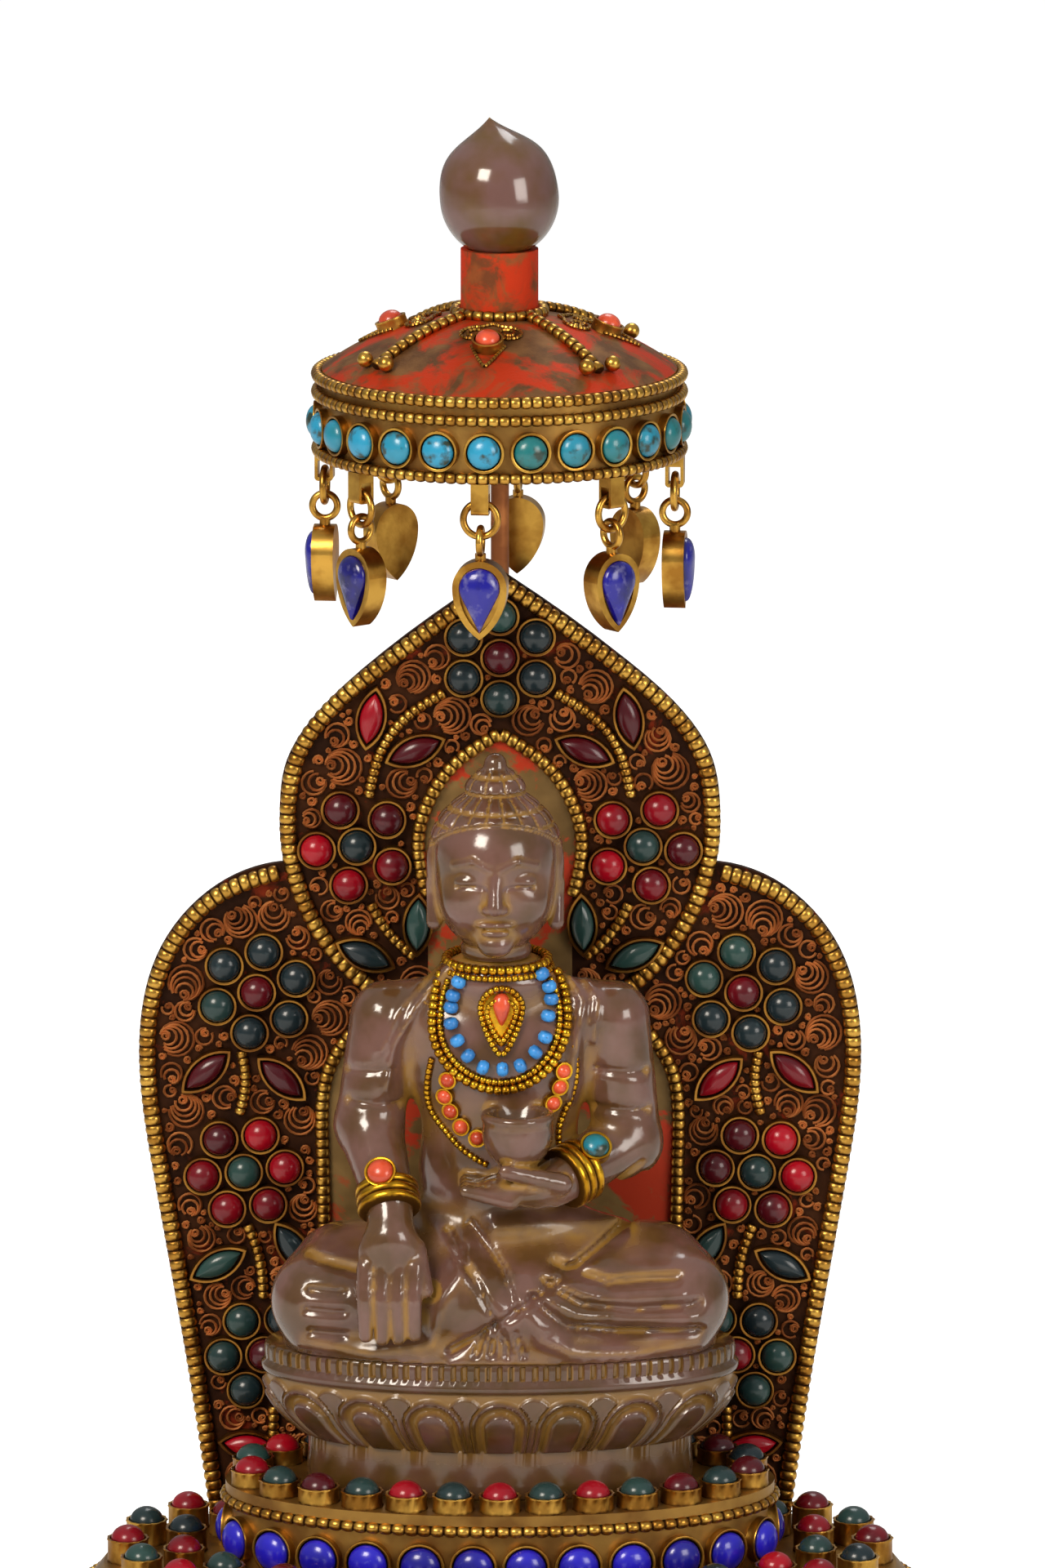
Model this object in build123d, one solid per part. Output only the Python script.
from build123d import *
import math
import os

# Base, from the foot up to the step that carries the pedestal
foot_half_width = 84.0
foot_half_depth = 58.0
foot_height = 5.0
petal_band_low = (78.0, 52.5)
petal_band_high = (81.0, 55.5)
petal_band_height = 11.0
base_wall_half_width = 78.0
base_wall_half_depth = 52.5
base_wall_height = 13.0
step_half_width = 74.0
step_half_depth = 46.5
step_slope_height = 5.0

# Pedestal drum under the figure
drum_half_width = 50.0
drum_half_depth = 25.0
drum_height = 16.0
drum_plate_overhang = 1.2
drum_plate_thickness = 2.0

# Round stones in their gilt settings
wire_size = 1.9
setting_width = 7.8
stone_width = 6.5
setting_height = 3.0
tall_setting_height = 4.5
pocket_depth = 1.0
seat_clearance = 0.1
cabochon_rise = 2.3
rim_setting_count = 26
rim_inset = 4.2
inner_step_ring = (60.0, 33.8)
inner_step_count = 22
outer_step_ring = (69.5, 42.1)
outer_step_count = 28
lapis_setting_width = 9.0
lapis_stone_width = 7.5
lapis_setting_height = 1.6
lapis_rise = 1.8
drum_lapis_count = 25
base_lapis_count = 42
neighbour_clearance = 0.6

# Crystal figure on its lotus seat, carved in one piece
plinth_half_width = 35.5
plinth_half_depth = 15.5
plinth_height = 9.4
seat_half_width = 44.0
seat_half_depth = 19.6
seat_flare_height = 11.6
seat_slab_height = 6.0
leg_levels = [(0.0, 40.0, 18.6), (5.0, 41.0, 19.2), (14.0, 40.0, 18.8), (21.0, 33.0, 16.0), (27.0, 18.0, 11.0)]
leg_shift = -1.0
torso_back_shift = 1.5
torso_levels = [(18.0, 15.5, 11.0), (31.0, 14.0, 10.0), (48.0, 16.5, 10.5), (62.0, 20.5, 10.5),
                (69.0, 15.0, 8.0), (73.0, 6.4, 6.2), (79.0, 6.2, 6.2)]
head_levels = [(74.0, 5.0, 5.6), (79.0, 9.0, 9.8), (86.0, 10.8, 11.6), (95.0, 11.0, 12.0),
               (101.0, 9.4, 10.4), (104.0, 6.4, 6.8), (108.0, 4.4, 4.6), (110.5, 1.6, 1.7)]
head_shift = (-0.8, -1.0)
arm_radii = (6.4, 5.8, 4.6)
hand_radius = 4.9
joint_swell = 0.3
right_arm = [(-21.0, 1.5, 138.0), (-24.0, -1.0, 118.0), (-20.3, -13.0, 107.0)]
right_fingers = (-19.5, -16.4, 88.0)
left_arm = [(21.0, 1.5, 138.0), (23.0, 0.5, 114.0), (9.0, -11.5, 109.5)]
bowl_centre = (3.3, -13.0)
bowl_radius = 6.5
bowl_low = 113.0
bowl_height = 10.7

# Jewellery worn by the figure
jewel_wire = 1.5
necklace_half_width = 13.4
necklace_low = 127.0
necklace_high = 146.0
bead_width = 2.6
bead_count = 15
bead_loop_half_width = 9.9
bead_loop_low = 130.6
bead_loop_high = 146.0
coral_chain = [(-9.6, 126.5), (-9.9, 122.9), (-8.6, 119.6), (-6.4, 116.9), (10.4, 126.8), (10.3, 122.6)]
coral_drop_place = (0.3, 138.6)
coral_drop_width = 3.6
cuff_radius = 6.0
cuff_length = 6.4

# Back panel with its pointed nimbus
panel_front = 28.2
panel_thickness = 1.6
nimbus_centre = 168.8
nimbus_radius = 41.2
nimbus_flank = [(39.4, 181.6), (22.4, 200.6)]
nimbus_apex = 216.8
body_edge = [(41.1, 161.2), (53.5, 156.4), (64.0, 144.0), (67.8, 124.4), (65.4, 102.0), (59.6, 67.0)]
body_foot_half_width = 55.0
border_width = 2.0
border_height = 1.9
stem_width = 1.8
head_arch = [(15.3, 166.0), (13.6, 172.5), (8.6, 180.0)]
head_arch_apex = 186.0
head_arch_foot = (13.5, 155.0)
body_arch = [(25.5, 131.5), (32.0, 122.0), (33.5, 108.0), (33.0, 80.0)]
body_arch_foot = (33.0, 37.0)
stems = [
    [(10.3, 193.8), (17.5, 189.0), (22.0, 183.0), (24.5, 173.8)],
    [(24.2, 153.6), (20.6, 147.6), (14.6, 142.4)],
    [(49.2, 127.2), (47.8, 119.5), (49.0, 112.9)],
    [(47.6, 91.6), (45.2, 84.0), (44.7, 77.2)],
    [(42.8, 56.2), (43.0, 50.0)],
]

# Stones of the back panel: flowers and pairs of pointed leaves
flower_setting_width = 7.4
flower_stone_width = 6.0
panel_setting_height = 2.2
flower_rise = 2.0
leaf_length = 12.4
leaf_width = 5.9
leaf_wall = 0.6
leaf_rise = 1.2
top_flower = (0.0, 200.6, 7.8, 30.0, 6)
nimbus_flower = (26.7, 164.7, 7.6, 42.0, 5)
upper_flower = (45.6, 136.7, 7.9, 20.0, 6)
middle_flower = (48.2, 102.0, 7.8, 6.0, 6)
lower_flower = (44.5, 66.5, 7.8, 3.0, 6)
leaves = [(24.0, 189.0, 100.0, "red"), (15.8, 182.9, -22.0, "red"), (15.4, 149.6, 92.0, "green"),
          (25.2, 143.8, 24.0, "green"), (55.2, 121.4, -41.0, "red"), (41.0, 120.0, 42.0, "red"),
          (53.2, 84.0, -28.0, "green"), (39.0, 87.2, 56.0, "green"), (47.4, 48.5, 8.0, "red")]

# Rod behind the panel that carries the canopy
rod_radius = 1.7
rod_bend_radius = 14.0
hub_radius = 4.5
hub_height = 6.0

# Canopy: band, dome, collar and crystal finial
canopy_centre = 8.0
band_radius = 32.5
band_low = 242.7
band_high = 258.4
band_wall = 1.2
dome_rise = 10.5
dome_wall = 1.2
turquoise_count = 25
turquoise_phase = -4.7
turquoise_height = 248.4
turquoise_setting_width = 7.5
turquoise_stone_width = 6.0
turquoise_setting_height = 1.6
turquoise_rise = 1.4
rim_wire_heights = [242.7, 253.2, 256.5]
collar_radius = 7.1
collar_wall = 1.2
collar_top = 280.4
rib_angles = [-51.0, 39.0, 129.0, -141.0]
rib_foot_radius = 29.2
rib_ball_radius = 1.5
ornament_angles = [-6.0, 84.0, 174.0, -96.0]
ornament_radius = 19.5
ornament_stone_width = 4.5
ornament_setting_width = 6.0
finial_radius = 10.85
finial_tip_height = 15.0
finial_shoulder = (0.8, 0.55)
finial_lean = 7.0

# Pendants under the canopy rim
pendant_count = 8
pendant_phase = -6.0
pendant_circle = 32.3
bail_width = 3.2
bail_depth = 3.4
bail_hole_depth = 2.2
bail_hole_height = 3.1
bail_strap = 0.7
ring_radius = 3.1
link_wire_radius = 0.65
ring_drop = 3.6
loop_radius = 2.3
link_clearance = 0.2
drop_width = 9.9
drop_length = 14.4
drop_depth = 4.0
drop_stone_width = 7.5
drop_stone_length = 12.0
drop_stone_rise = 1.6
neck_radius = 1.0

# Heights that follow from the sizes above
petal_low = foot_height
petal_high = petal_low + petal_band_height
wall_high = petal_high + base_wall_height
step_top = wall_high + step_slope_height
drum_top = step_top + drum_height
seat_low = drum_top + plinth_height
slab_low = seat_low + seat_flare_height
slab_top = slab_low + seat_slab_height
panel_back = panel_front + panel_thickness
rod_y = panel_back + rod_radius
dome_radius = (band_radius ** 2 + dome_rise ** 2) / (2 * dome_rise)
dome_top = band_high + dome_rise
dome_centre = dome_top - dome_radius
ring_height = band_low - ring_drop
hang_height = ring_height - 2 * ring_radius
loop_top = hang_height + 2 * link_wire_radius + link_clearance
loop_low = loop_top - 2 * loop_radius - link_wire_radius
drop_top = loop_low - 0.5
bottom_align = (Align.CENTER, Align.CENTER, Align.MIN)
panel_plane = Plane(origin=(0, panel_front, 0), x_dir=(1, 0, 0), z_dir=(0, -1, 0))


def ellipse_block(half_width, half_depth, low, high):
    """Upright block with an elliptical outline."""
    return extrude(Plane.XY.offset(low) * Ellipse(half_width, half_depth), high - low)


def ellipse_stack(levels, base, shift=(0.0, 0.0)):
    """Solid through elliptical sections given as height, half width and half depth."""
    faces = []
    for height, half_width, half_depth in levels:
        place = Plane(origin=(shift[0], shift[1], base + height))
        faces.append(place * Ellipse(half_width, half_depth))
    return loft(faces, ruled=True)


def ellipse_ring(half_width, half_depth, thickness, low, high):
    """Band that lies against the outside of an elliptical wall."""
    outer = ellipse_block(half_width + thickness, half_depth + thickness, low, high)
    return outer - ellipse_block(half_width, half_depth, low, high)


def ellipse_stations(half_width, half_depth, count, phase=0.0):
    """Evenly spaced points on an ellipse from the front, with their outward directions."""
    steps = 1440
    lengths = [0.0]
    points = []
    for step in range(steps + 1):
        turn = math.radians(-90 + 360 * step / steps)
        points.append((half_width * math.cos(turn), half_depth * math.sin(turn)))
    for first, second in zip(points, points[1:]):
        lengths.append(lengths[-1] + math.dist(first, second))
    stations = []
    for index in range(count):
        wanted = lengths[-1] * ((index + phase) / count % 1.0)
        step = min(range(steps), key=lambda item: abs(lengths[item] - wanted))
        x, y = points[step]
        outward = Vector(x / half_width ** 2, y / half_depth ** 2, 0).normalized()
        stations.append((x, y, outward))
    return stations


def round_setting(width, pocket_width, height):
    """Gilt cup that stands on its foot and is open at the top."""
    cup = Cylinder(width / 2, height, align=bottom_align)
    pocket = Cylinder(pocket_width / 2, pocket_depth, align=bottom_align)
    return cup - Pos(0, 0, height - pocket_depth) * pocket


def domed_stone(width, height, rise):
    """Cabochon whose foot stands on the floor of a cup of the given height."""
    radius = width / 2 - seat_clearance
    ball = (radius ** 2 + rise ** 2) / (2 * rise)
    half_turn = math.asin(min(1.0, radius / ball)) / 2
    middle = (ball * math.sin(half_turn), pocket_depth + rise - ball * (1 - math.cos(half_turn)))
    sides = Polyline((0, pocket_depth + rise), (0, 0), (radius, 0), (radius, pocket_depth))
    dome = ThreePointArc((radius, pocket_depth), middle, (0, pocket_depth + rise))
    stone = revolve(Plane.XZ * make_face(sides + dome), Axis.Z)
    return Pos(0, 0, height - pocket_depth) * stone


def clear_of_panel(x, y, radius):
    """Whether a round setting at this place stays off the back panel and the rod."""
    reach = radius + neighbour_clearance
    beside = abs(x) > body_foot_half_width + reach
    before = y < panel_front - reach
    behind = y > panel_back + reach
    off_rod = math.hypot(x, y - rod_y) > reach + rod_radius
    return (beside or before or behind) and off_rod


def upright_places(ring, count, height):
    """Planes for upright settings round an ellipse, clear of the panel."""
    places = []
    for x, y, outward in ellipse_stations(ring[0], ring[1], count):
        if clear_of_panel(x, y, setting_width / 2):
            places.append(Plane(origin=(x, y, height)))
    return places


def wall_places(half_width, half_depth, count, height, reach):
    """Planes for settings that face outwards from an elliptical wall."""
    places = []
    for x, y, outward in ellipse_stations(half_width, half_depth, count, 0.5):
        tip = y + outward.Y * reach
        hidden = half_depth < panel_front and tip > panel_front - neighbour_clearance
        if not hidden:
            inner = Vector(x, y, height) - outward
            places.append(Plane(origin=inner, x_dir=(-outward.Y, outward.X, 0), z_dir=outward))
    return places


def canopy_direction(angle):
    """Direction from the canopy's axis, measured from the front towards +X."""
    turn = math.radians(angle)
    return Vector(math.sin(turn), -math.cos(turn), 0)


def canopy_frame(angle, radius, height):
    """Plane on the canopy that faces outwards, with its own Y upwards."""
    outward = canopy_direction(angle)
    spot = Vector(0, canopy_centre, height) + outward * radius
    return Plane(origin=spot, x_dir=(-outward.Y, outward.X, 0), z_dir=outward)


def limb_piece(first, second, low, high):
    """Tapered limb between two points, round at both ends, turned as one solid."""
    start = Vector(*first)
    span = Vector(*second) - start
    corner = math.sqrt(0.5)
    heel = ThreePointArc((0, -low), (low * corner, -low * corner), (low, 0))
    toe = ThreePointArc((high, span.length), (high * corner, span.length + high * corner),
                        (0, span.length + high))
    side = Line((low, 0), (high, span.length))
    axis = Line((0, span.length + high), (0, -low))
    return Plane(origin=start, z_dir=span) * revolve(Plane.XZ * make_face(heel + side + toe + axis), Axis.Z)


def limb(points, radii):
    """Pieces of a limb through points, each starting slightly fuller than the last one ends."""
    shape = Part()
    for first, second, low, high in zip(points, points[1:], radii, radii[1:]):
        shape += limb_piece(first, second, low + joint_swell, high)
    return shape


def leaf_face(length, width):
    """Pointed oval between two arcs."""
    upper = ThreePointArc((-length / 2, 0), (0, width / 2), (length / 2, 0))
    lower = ThreePointArc((length / 2, 0), (0, -width / 2), (-length / 2, 0))
    return make_face(upper + lower)


def drop_face(width, length):
    """Teardrop that is round at the top and pointed below, with its origin at the round centre."""
    radius = width / 2
    point = length - radius
    flank = (radius ** 2 + point ** 2) / (2 * radius)
    half_turn = math.asin(point / flank) / 2
    side = (radius - flank + flank * math.cos(half_turn), -flank * math.sin(half_turn))
    crown = ThreePointArc((-radius, 0), (0, radius), (radius, 0))
    right = ThreePointArc((radius, 0), side, (0, -point))
    left = ThreePointArc((0, -point), (-side[0], side[1]), (-radius, 0))
    return make_face(crown + right + left)


def joined(first, second):
    """Two groups of like pieces in one node."""
    return Compound(list(first.solids()) + list(second.solids()))


def foot_plate():
    return ellipse_block(foot_half_width, foot_half_depth, 0, foot_height)


def lotus_petals():
    levels = [(0.0, *petal_band_low), (petal_band_height * 0.6, *petal_band_high),
              (petal_band_height, *petal_band_low)]
    return ellipse_stack(levels, petal_low)


def base_wall():
    wall = ellipse_block(base_wall_half_width, base_wall_half_depth, petal_high, wall_high)
    slope = ellipse_stack([(0.0, base_wall_half_width, base_wall_half_depth),
                           (step_slope_height, step_half_width, step_half_depth)], wall_high)
    return wall + slope


def base_beading():
    size = (base_wall_half_width, base_wall_half_depth, wire_size)
    lower = ellipse_ring(*size, petal_high, petal_high + wire_size)
    upper = ellipse_ring(*size, wall_high - wire_size, wall_high)
    return Compound([lower, upper])


def step_places():
    """Settings of both rings on the step, in order round each ring."""
    inner = upright_places(inner_step_ring, inner_step_count, step_top)
    outer = upright_places(outer_step_ring, outer_step_count, step_top)
    return inner, outer


def base_wall_places():
    height = (petal_high + wall_high) / 2
    return wall_places(base_wall_half_width, base_wall_half_depth, base_lapis_count, height, 0.0)


def step_settings():
    inner, outer = step_places()
    return Compound([place * round_setting(setting_width, stone_width, tall_setting_height)
                     for place in inner + outer])


def step_stones(parity):
    """Every other stone of both rings on the step."""
    stone = domed_stone(stone_width, tall_setting_height, cabochon_rise)
    inner, outer = step_places()
    chosen = inner[parity::2] + outer[1 - parity::2]
    return Compound([place * stone for place in chosen])


def wall_settings(places, wall):
    """Lapis cups with their feet cut to the wall that carries them."""
    cup = round_setting(lapis_setting_width, lapis_stone_width, lapis_setting_height + 1)
    return Compound([place * cup - wall for place in places])


def wall_stones(places):
    stone = domed_stone(lapis_stone_width, lapis_setting_height + 1, lapis_rise)
    return Compound([place * stone for place in places])


def drum_wall_places():
    height = step_top + (drum_height - drum_plate_thickness - wire_size) / 2
    reach = lapis_setting_height + lapis_rise
    return wall_places(drum_half_width, drum_half_depth, drum_lapis_count, height, reach)


def pedestal_drum():
    wall = ellipse_block(drum_half_width, drum_half_depth, step_top, drum_top - drum_plate_thickness)
    plate = ellipse_block(drum_half_width + drum_plate_overhang, drum_half_depth + drum_plate_overhang,
                          drum_top - drum_plate_thickness, drum_top)
    return wall + plate


def pedestal_beading():
    high = drum_top - drum_plate_thickness
    return ellipse_ring(drum_half_width, drum_half_depth, wire_size, high - wire_size, high)


def rim_places():
    ring = (drum_half_width + drum_plate_overhang - rim_inset, drum_half_depth + drum_plate_overhang - rim_inset)
    return [Plane(origin=(x, y, drum_top)) for x, y, outward in ellipse_stations(*ring, rim_setting_count)]


def rim_settings():
    return Compound([place * round_setting(setting_width, stone_width, setting_height)
                     for place in rim_places()])


def rim_stones(parity):
    stone = domed_stone(stone_width, setting_height, cabochon_rise)
    return Compound([place * stone for place in rim_places()[parity::2]])


def torso():
    return ellipse_stack(torso_levels, slab_top, (0.0, torso_back_shift))


def chest_front(x, height):
    """Depth of the chest's front surface at a place seen from the front."""
    level = height - slab_top
    for (low, *low_size), (high, *high_size) in zip(torso_levels, torso_levels[1:]):
        if low <= level <= high:
            share = (level - low) / (high - low)
            half_width = low_size[0] + share * (high_size[0] - low_size[0])
            half_depth = low_size[1] + share * (high_size[1] - low_size[1])
            return torso_back_shift - half_depth * math.sqrt(max(0.0, 1 - (x / half_width) ** 2))
    return torso_back_shift


def crystal_figure():
    plinth = ellipse_block(plinth_half_width, plinth_half_depth, drum_top, seat_low)
    seat = ellipse_stack([(0.0, plinth_half_width, plinth_half_depth),
                          (seat_flare_height, seat_half_width, seat_half_depth),
                          (seat_flare_height + seat_slab_height, seat_half_width, seat_half_depth)], seat_low)
    legs = ellipse_stack(leg_levels, slab_top, (0.0, leg_shift))
    head = ellipse_stack(head_levels, slab_top, head_shift)
    figure = plinth + seat + legs + torso() + head
    figure += limb(right_arm + [right_fingers], arm_radii + (hand_radius,))
    figure += limb(left_arm, arm_radii)
    bowl = Pos(*bowl_centre, bowl_low) * Cylinder(bowl_radius, bowl_height, align=bottom_align)
    return figure + bowl


def draped_necklace():
    """Strip that lies on the chest along a U, cut from a thin skin over it."""
    skin_levels = [(height, width + jewel_wire, depth + jewel_wire) for height, width, depth in torso_levels]
    skin = ellipse_stack(skin_levels, slab_top, (0.0, torso_back_shift))
    bend = necklace_low + necklace_half_width
    outline = Plane.XZ * (Pos(0, bend) * Circle(necklace_half_width)
                          + Pos(0, (bend + necklace_high) / 2)
                          * Rectangle(2 * necklace_half_width, necklace_high - bend))
    hollow_width = necklace_half_width - jewel_wire
    hollow = Plane.XZ * (Pos(0, bend) * Circle(hollow_width)
                         + Pos(0, (bend + necklace_high) / 2)
                         * Rectangle(2 * hollow_width, necklace_high - bend))
    reach = seat_half_depth * 2
    return (extrude(outline, reach) - extrude(hollow, reach)) & skin


def wrist_cuff(first, second):
    """Gilt sleeve round the lower end of a forearm."""
    end = Vector(*second)
    along = (Vector(*first) - end).normalized()
    sleeve = Cylinder(cuff_radius, cuff_length, align=bottom_align)
    return Plane(origin=end + along * arm_radii[-1] / 2, z_dir=along) * sleeve


def gilt_jewellery(figure):
    pieces = [draped_necklace(), wrist_cuff(*right_arm[1:]), wrist_cuff(*left_arm[1:])]
    solids = []
    for piece in pieces:
        solids.extend(solid for solid in (piece - figure).solids() if solid.volume > 0.5)
    return Compound(solids)


def bead_on_chest(x, height, width):
    """Round bead that rests against the chest wherever it bulges most below the bead."""
    radius = width / 2
    steps = (-radius, 0.0, radius)
    front = min(chest_front(x + across, height + up) for across in steps for up in steps)
    return Pos(x, front - radius - seat_clearance, height) * Sphere(radius)


def turquoise_beads():
    """Beads along a U on the chest, inside the gilt necklace."""
    bend = bead_loop_low + bead_loop_half_width
    straight = bead_loop_high - bend
    total = math.pi * bead_loop_half_width + 2 * straight
    beads = []
    for index in range(bead_count):
        along = total * index / (bead_count - 1) - total / 2
        turn = along / bead_loop_half_width
        if abs(turn) < math.pi / 2:
            x = bead_loop_half_width * math.sin(turn)
            height = bend - bead_loop_half_width * math.cos(turn)
        else:
            x = math.copysign(bead_loop_half_width, along)
            height = bend + abs(along) - math.pi / 2 * bead_loop_half_width
        beads.append(bead_on_chest(x, height, bead_width))
    return Compound(beads)


def coral_beads():
    beads = [bead_on_chest(x, height, bead_width) for x, height in coral_chain]
    beads.append(bead_on_chest(*coral_drop_place, coral_drop_width))
    return Compound(beads)


def mirrored(points):
    return [(-x, height) for x, height in reversed(points)]


def nimbus_outline():
    """Round nimbus that rises to a point."""
    side = (nimbus_radius, nimbus_centre)
    left = (-nimbus_radius, nimbus_centre)
    apex = (0, nimbus_apex)
    lower = ThreePointArc(left, (0, nimbus_centre - nimbus_radius), side)
    right_flank = Spline(side, *nimbus_flank, apex, tangents=[(0, 1), (-1.2, 0.8)])
    left_flank = Spline(apex, *mirrored(nimbus_flank), left, tangents=[(-1.2, -0.8), (0, -1)])
    return lower + right_flank + left_flank


def nimbus_face():
    return make_face(nimbus_outline())


def body_outline():
    """Both free edges of the wide shouldered panel below the nimbus."""
    foot = (body_foot_half_width, step_top)
    right = Spline(*body_edge, foot)
    left = Spline((-foot[0], foot[1]), *mirrored(body_edge))
    return right + left


def body_face():
    base = Line((body_foot_half_width, step_top), (-body_foot_half_width, step_top))
    top = Line((-body_edge[0][0], body_edge[0][1]), body_edge[0])
    return make_face(body_outline() + base + top)


def raised(face, height, lift=0.0):
    """Shape that stands off the panel's front face."""
    return panel_plane * (Pos(0, 0, lift) * extrude(face, height))


def back_plate():
    return raised(nimbus_face() + body_face(), -panel_thickness)


def outer_border():
    strip = raised(trace(body_outline(), 2 * border_width), border_height)
    return (strip & raised(body_face(), border_height)) - raised(nimbus_face(), border_height)


def nimbus_border():
    strip = raised(trace(nimbus_outline(), 2 * border_width), border_height)
    return strip & raised(nimbus_face(), border_height)


def inner_beading():
    """Beaded arches behind the head and the body, and the stems between the flowers."""
    ring = raised(nimbus_face(), border_height)
    apex = (0, head_arch_apex)
    strips = []
    for mirror in (1, -1):
        side = [(mirror * x, height) for x, height in head_arch]
        foot = (mirror * head_arch_foot[0], head_arch_foot[1])
        strips.append(raised(trace(Spline(foot, *side, apex), border_width), border_height))
        arch = [(mirror * x, height) for x, height in body_arch]
        arch_foot = (mirror * body_arch_foot[0], body_arch_foot[1])
        strips.append(raised(trace(Spline(*arch, arch_foot), border_width), border_height) - ring)
        for stem in stems:
            line = Spline(*[(mirror * x, height) for x, height in stem])
            strips.append(raised(trace(line, stem_width), border_height))
    stones = [raised(outline, border_height) for outline in stone_outlines()]
    return Part() + strips - stones


def flower_places():
    """Each flower as its middle place and the places of its petals."""
    flowers = [(top_flower, 1)]
    for flower in (nimbus_flower, upper_flower, middle_flower, lower_flower):
        flowers += [(flower, 1), (flower, -1)]
    result = []
    for (x, height, radius, phase, count), side in flowers:
        petals = []
        for index in range(count):
            turn = math.radians(phase + 360 * index / count)
            petals.append((side * (x - radius * math.cos(turn)), height + radius * math.sin(turn)))
        result.append(((side * x, height), petals))
    return result


def panel_stone_places(colour):
    """Round stones of one colour: flowers alternate between red petals and dark ones."""
    red_petals = (1, 2, 5, 6)
    spots = []
    for index, (middle, petals) in enumerate(flower_places()):
        if index in red_petals:
            spots += petals if colour == "red" else [middle]
        else:
            spots += [middle] if colour == "red" else petals
    return spots


def leaf_places(colour):
    spots = []
    for x, height, turn, shade in leaves:
        if shade == colour:
            spots.append((x, height, turn))
            spots.append((-x, height, 180 - turn))
    return spots


def stone_outlines():
    """Outlines of all the panel's settings, which the beaded wires stop short of."""
    grown = Circle(flower_setting_width / 2 + seat_clearance)
    grown_leaf = leaf_face(leaf_length + 2 * seat_clearance, leaf_width + 2 * seat_clearance)
    outlines = [Pos(x, z) * grown for x, z in panel_stone_places("red") + panel_stone_places("green")]
    outlines += [Pos(x, z) * Rot(0, 0, turn) * grown_leaf
                 for x, z, turn in leaf_places("red") + leaf_places("green")]
    return outlines


def back_settings():
    cup = round_setting(flower_setting_width, flower_stone_width, panel_setting_height)
    shell = extrude(leaf_face(leaf_length, leaf_width), panel_setting_height)
    pocket = extrude(leaf_face(leaf_length - 3 * leaf_wall, leaf_width - 2 * leaf_wall), pocket_depth)
    leaf = shell - Pos(0, 0, panel_setting_height - pocket_depth) * pocket
    cups = [panel_plane * (Pos(x, z, 0) * cup)
            for x, z in panel_stone_places("red") + panel_stone_places("green")]
    frames = [panel_plane * (Pos(x, z, 0) * Rot(0, 0, turn) * leaf)
              for x, z, turn in leaf_places("red") + leaf_places("green")]
    return Compound(cups + frames)


def back_stones(colour):
    stone = domed_stone(flower_stone_width, panel_setting_height, flower_rise)
    length = leaf_length - 3 * leaf_wall - 2 * seat_clearance
    width = leaf_width - 2 * leaf_wall - 2 * seat_clearance
    leaf = Pos(0, 0, panel_setting_height - pocket_depth) * extrude(leaf_face(length, width),
                                                                   pocket_depth + leaf_rise)
    rounds = [panel_plane * (Pos(x, z, 0) * stone) for x, z in panel_stone_places(colour)]
    points = [panel_plane * (Pos(x, z, 0) * Rot(0, 0, turn) * leaf) for x, z, turn in leaf_places(colour)]
    return Compound(rounds + points)


def under_dome(radius):
    """Height of the dome's inner face at a distance from its axis."""
    return dome_centre + math.sqrt((dome_radius - dome_wall) ** 2 - radius ** 2)


def canopy_rod():
    """Rod up the back of the panel, bent forward under the dome to a hub below its crown."""
    bend_end = rod_y - rod_bend_radius
    level = under_dome(bend_end - canopy_centre) - rod_radius - 2 * neighbour_clearance
    bend_start = level - rod_bend_radius
    path = Line((0, rod_y, step_top), (0, rod_y, bend_start))
    half = math.sqrt(0.5) * rod_bend_radius
    elbow = (0, bend_end + half, bend_start + half)
    curve = ThreePointArc((0, rod_y, bend_start), elbow, (0, bend_end, level))
    reach = Line((0, bend_end, level), (0, canopy_centre, level))
    rod = sweep(Plane(origin=(0, rod_y, step_top)) * Circle(rod_radius), path + curve + reach)
    hub = Pos(0, canopy_centre, level - hub_height / 2) * Cylinder(hub_radius, 3 * hub_height, align=bottom_align)
    inner_ball = Pos(0, canopy_centre, dome_centre) * Sphere(dome_radius - dome_wall)
    return rod + (hub & inner_ball)


def canopy_dome():
    ball = Pos(0, canopy_centre, dome_centre) * Sphere(dome_radius)
    hollow = Pos(0, canopy_centre, dome_centre) * Sphere(dome_radius - dome_wall)
    slab = Pos(0, canopy_centre, band_high) * Cylinder(band_radius, dome_rise, align=bottom_align)
    return (ball - hollow) & slab


def tube(radius, inner, low, high):
    """Upright tube on the canopy's axis."""
    outer = Cylinder(radius, high - low, align=bottom_align) - Cylinder(inner, high - low, align=bottom_align)
    return Pos(0, canopy_centre, low) * outer


def canopy_band():
    return tube(band_radius, band_radius - band_wall, band_low, band_high)


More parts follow.
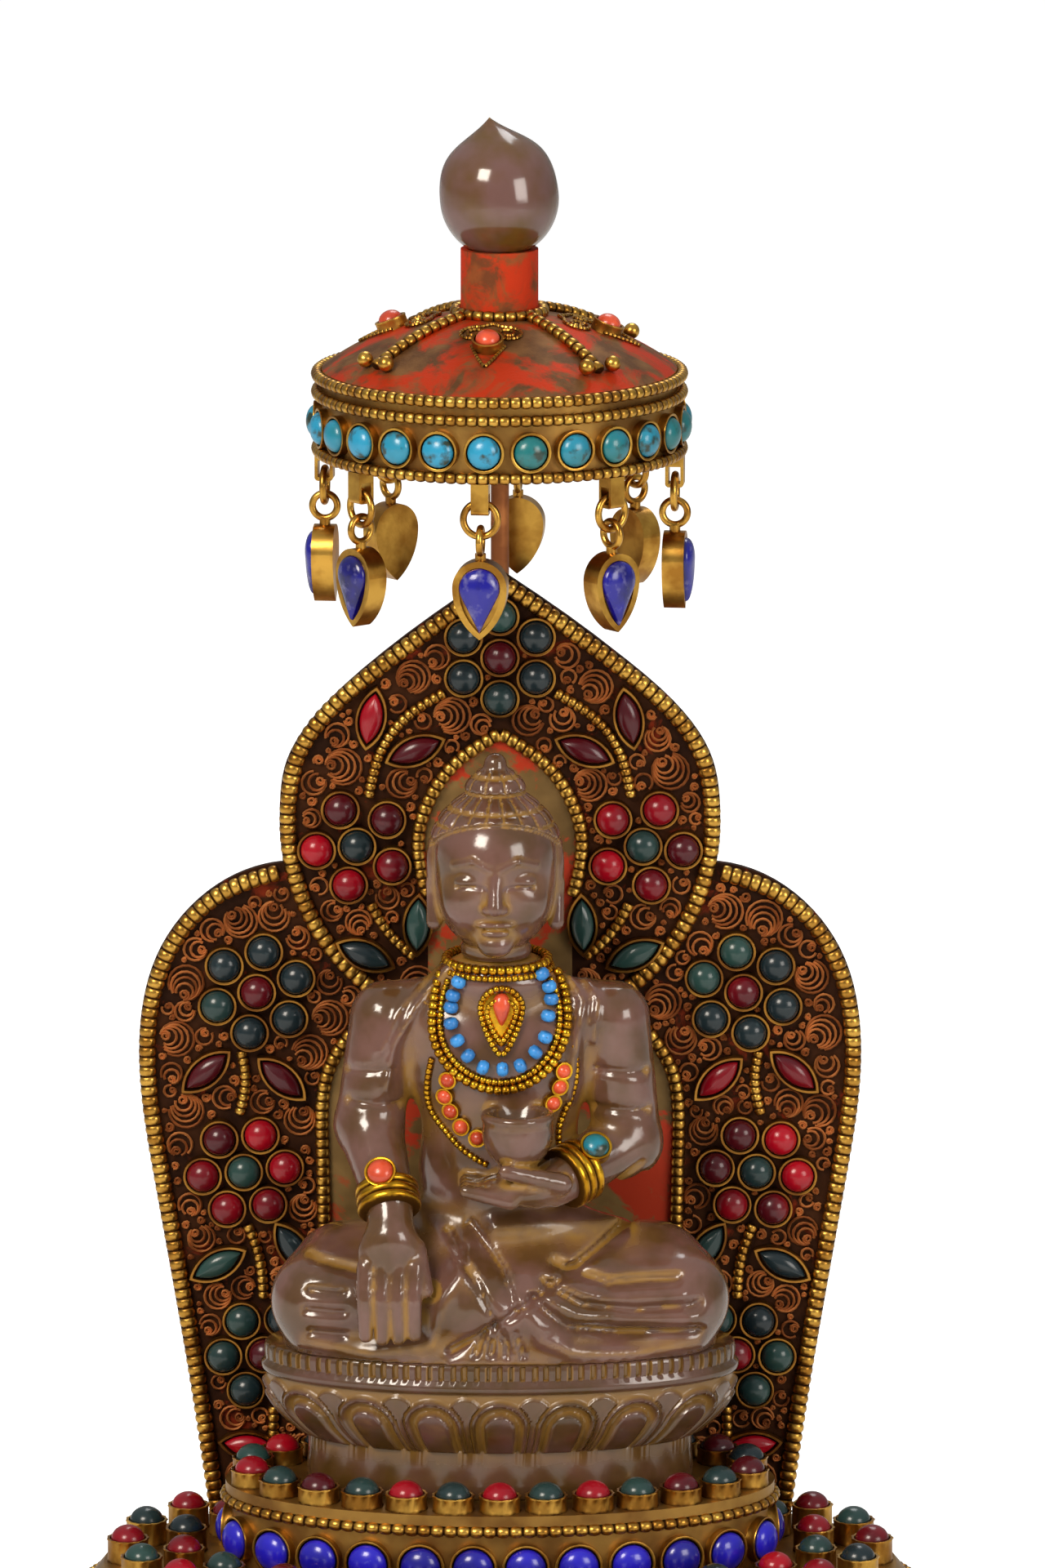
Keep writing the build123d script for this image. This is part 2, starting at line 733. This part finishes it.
def canopy_beading():
    """Wire rings round the band, ribs over the dome and the balls at their feet."""
    wires = []
    for height in rim_wire_heights:
        wires.append(tube(band_radius + wire_size, band_radius, height, height + wire_size))
    ball = Pos(0, canopy_centre, dome_centre) * Sphere(dome_radius)
    ribs = Part()
    crown = tube(collar_radius + wire_size, collar_radius, dome_top - 2 * wire_size, dome_top + wire_size / 2)
    skin = Pos(0, canopy_centre, dome_centre) * Sphere(dome_radius + wire_size)
    for angle in rib_angles:
        length = rib_foot_radius - collar_radius
        bar = Box(wire_size, length, 2 * dome_rise, align=(Align.CENTER, Align.MAX, Align.MIN))
        place = Plane(origin=(0, canopy_centre, band_high)) * Rot(0, 0, angle)
        ribs += place * (Pos(0, -collar_radius - wire_size / 2, 0) * bar) & skin
    solids = wires + ((ribs + crown) - ball).solids()
    for angle in rib_angles:
        for turn in (-6.0, 6.0):
            radius = rib_foot_radius - 1.0
            height = dome_centre + math.sqrt((dome_radius + rib_ball_radius) ** 2 - radius ** 2)
            place = canopy_frame(angle + turn, radius, height + seat_clearance)
            solids.append(place * Sphere(rib_ball_radius))
    return Compound(solids)


def canopy_wall_places():
    places = []
    for index in range(turquoise_count):
        angle = turquoise_phase + 360 * index / turquoise_count
        places.append(canopy_frame(angle, band_radius - 1, turquoise_height))
    return places


def turquoise_settings():
    cup = round_setting(turquoise_setting_width, turquoise_stone_width, turquoise_setting_height + 1)
    core = Pos(0, canopy_centre, band_low) * Cylinder(band_radius, band_high - band_low, align=bottom_align)
    return Compound([place * cup - core for place in canopy_wall_places()])


def turquoise_stones():
    stone = domed_stone(turquoise_stone_width, turquoise_setting_height + 1, turquoise_rise)
    return Compound([place * stone for place in canopy_wall_places()])


def dome_normal_place(angle):
    """Plane square to the dome at an ornament."""
    outward = canopy_direction(angle)
    height = dome_centre + math.sqrt(dome_radius ** 2 - ornament_radius ** 2)
    spot = Vector(0, canopy_centre, height) + outward * ornament_radius
    normal = spot - Vector(0, canopy_centre, dome_centre)
    return Plane(origin=spot - normal.normalized(), x_dir=(-outward.Y, outward.X, 0), z_dir=normal)


def dome_ornaments():
    ball = Pos(0, canopy_centre, dome_centre) * Sphere(dome_radius)
    cup = round_setting(ornament_setting_width, ornament_stone_width, 2 + pocket_depth)
    return Compound([dome_normal_place(angle) * cup - ball for angle in ornament_angles])


def dome_corals():
    stone = domed_stone(ornament_stone_width, 2 + pocket_depth, turquoise_rise)
    return Compound([dome_normal_place(angle) * stone for angle in ornament_angles])


def finial_collar():
    ball = Pos(0, canopy_centre, dome_centre) * Sphere(dome_radius)
    return tube(collar_radius, collar_radius - collar_wall, dome_top - wire_size, collar_top) - ball


def crystal_finial():
    """Pointed drop that rests in the mouth of the collar."""
    mouth = collar_radius - collar_wall
    centre = collar_top + math.sqrt(finial_radius ** 2 - mouth ** 2) + seat_clearance
    tip = (0, finial_tip_height)
    lower = ThreePointArc((0, -finial_radius), (finial_radius * math.sqrt(0.5), -finial_radius * math.sqrt(0.5)),
                          (finial_radius, 0))
    shoulder = (finial_radius * finial_shoulder[0], finial_tip_height * finial_shoulder[1])
    upper = Spline((finial_radius, 0), shoulder, tip, tangents=[(0, 1), (-1, 1)])
    drop = revolve(Plane.XZ * make_face(lower + upper + Line(tip, (0, -finial_radius))), Axis.Z)
    return Pos(0, canopy_centre, centre) * Rot(0, -finial_lean, 0) * drop


def pendant_angle(index):
    return pendant_phase + 360 * index / pendant_count


def pendant_bails():
    """Straps soldered under the rim, each with an eye for its ring."""
    eye_low = ring_height - link_wire_radius - 2 * link_clearance - ring_radius * 0.13
    eye = Pos(0, eye_low + bail_hole_height / 2) * Rectangle(bail_hole_depth, bail_hole_height)
    low = eye_low - bail_strap
    strap = Pos(0, (low + band_low) / 2) * RectangleRounded(bail_depth, band_low - low, bail_strap)
    top = Pos(0, band_low - bail_strap) * Rectangle(bail_depth, 2 * bail_strap)
    top_fill = top & Pos(0, (low + band_low) / 2) * Rectangle(bail_depth, band_low - low)
    straps = []
    for index in range(pendant_count):
        outward = canopy_direction(pendant_angle(index))
        sideways = (outward.Y, -outward.X, 0)
        origin = Vector(0, canopy_centre, 0) + outward * pendant_circle
        place = Plane(origin=origin, x_dir=outward, z_dir=sideways)
        straps.append(place * extrude(strap + top_fill - eye, bail_width / 2, both=True))
    return Compound(straps)


def pendant_ring(index):
    place = canopy_frame(pendant_angle(index), pendant_circle, ring_height - ring_radius)
    return place * Torus(ring_radius, link_wire_radius)


def drop_origin():
    """Height of the round centre of a drop."""
    return drop_top - drop_width / 2


def pendant_drop(index):
    """Loop, neck and teardrop bezel in one piece."""
    angle = pendant_angle(index)
    outward = canopy_direction(angle)
    spot = Vector(0, canopy_centre, loop_top - loop_radius) + outward * pendant_circle
    loop = Plane(origin=spot, x_dir=outward, z_dir=(outward.Y, -outward.X, 0)) * Torus(loop_radius,
                                                                                     link_wire_radius)
    neck_low = drop_top - link_wire_radius
    neck_height = loop_low + link_wire_radius - neck_low
    neck = Pos(spot.X, spot.Y, neck_low) * Cylinder(neck_radius, neck_height, align=bottom_align)
    frame = canopy_frame(angle, pendant_circle - drop_depth / 2, drop_origin())
    bezel = extrude(drop_face(drop_width, drop_length), drop_depth)
    pocket = extrude(drop_face(drop_stone_width, drop_stone_length), pocket_depth)
    return loop + neck + frame * (bezel - Pos(0, 0, drop_depth - pocket_depth) * pocket)


def pendant_stone(index):
    width = drop_stone_width - 2 * seat_clearance
    length = drop_stone_length - 2 * seat_clearance
    frame = canopy_frame(pendant_angle(index), pendant_circle + drop_depth / 2 - pocket_depth, drop_origin())
    return frame * extrude(drop_face(width, length), pocket_depth + drop_stone_rise)


def build_parts():
    figure = crystal_figure()
    drum = pedestal_drum()
    wall = base_wall()
    parts = {
        "foot_plate": foot_plate(),
        "lotus_petals": lotus_petals(),
        "base_wall": wall,
        "base_beading": base_beading(),
        "step_settings": step_settings(),
        "step_red_stones": step_stones(0),
        "step_green_stones": step_stones(1),
        "pedestal_drum": drum,
        "pedestal_beading": pedestal_beading(),
        "lapis_settings": joined(wall_settings(base_wall_places(), wall), wall_settings(drum_wall_places(), drum)),
        "lapis_stones": joined(wall_stones(base_wall_places()), wall_stones(drum_wall_places())),
        "rim_settings": rim_settings(),
        "rim_red_stones": rim_stones(0),
        "rim_green_stones": rim_stones(1),
        "crystal_figure": figure,
        "gilt_jewellery": gilt_jewellery(figure),
        "turquoise_beads": turquoise_beads(),
        "coral_stones": joined(coral_beads(), dome_corals()),
        "back_plate": back_plate(),
        "outer_border": outer_border(),
        "nimbus_border": nimbus_border(),
        "inner_beading": inner_beading(),
        "back_settings": back_settings(),
        "back_red_stones": back_stones("red"),
        "back_green_stones": back_stones("green"),
        "canopy_rod": canopy_rod(),
        "canopy_dome": canopy_dome(),
        "canopy_band": canopy_band(),
        "canopy_beading": canopy_beading(),
        "turquoise_settings": turquoise_settings(),
        "canopy_turquoise": turquoise_stones(),
        "dome_ornaments": dome_ornaments(),
        "finial_collar": finial_collar(),
    }
    return parts


def build_hanging_parts():
    parts = {"crystal_finial": crystal_finial(), "pendant_bails": pendant_bails()}
    for index in range(pendant_count):
        number = index + 1
        parts[f"ring_{number}"] = pendant_ring(index)
        parts[f"drop_{number}"] = pendant_drop(index)
    return parts


def write_parts(parts):
    os.makedirs("parts", exist_ok=True)
    for name, shape in parts.items():
        export_step(shape, os.path.join("parts", name + ".step"))


write_parts(build_parts())
write_parts(build_hanging_parts())
write_parts({f"drop_stone_{index + 1}": pendant_stone(index) for index in range(pendant_count)})
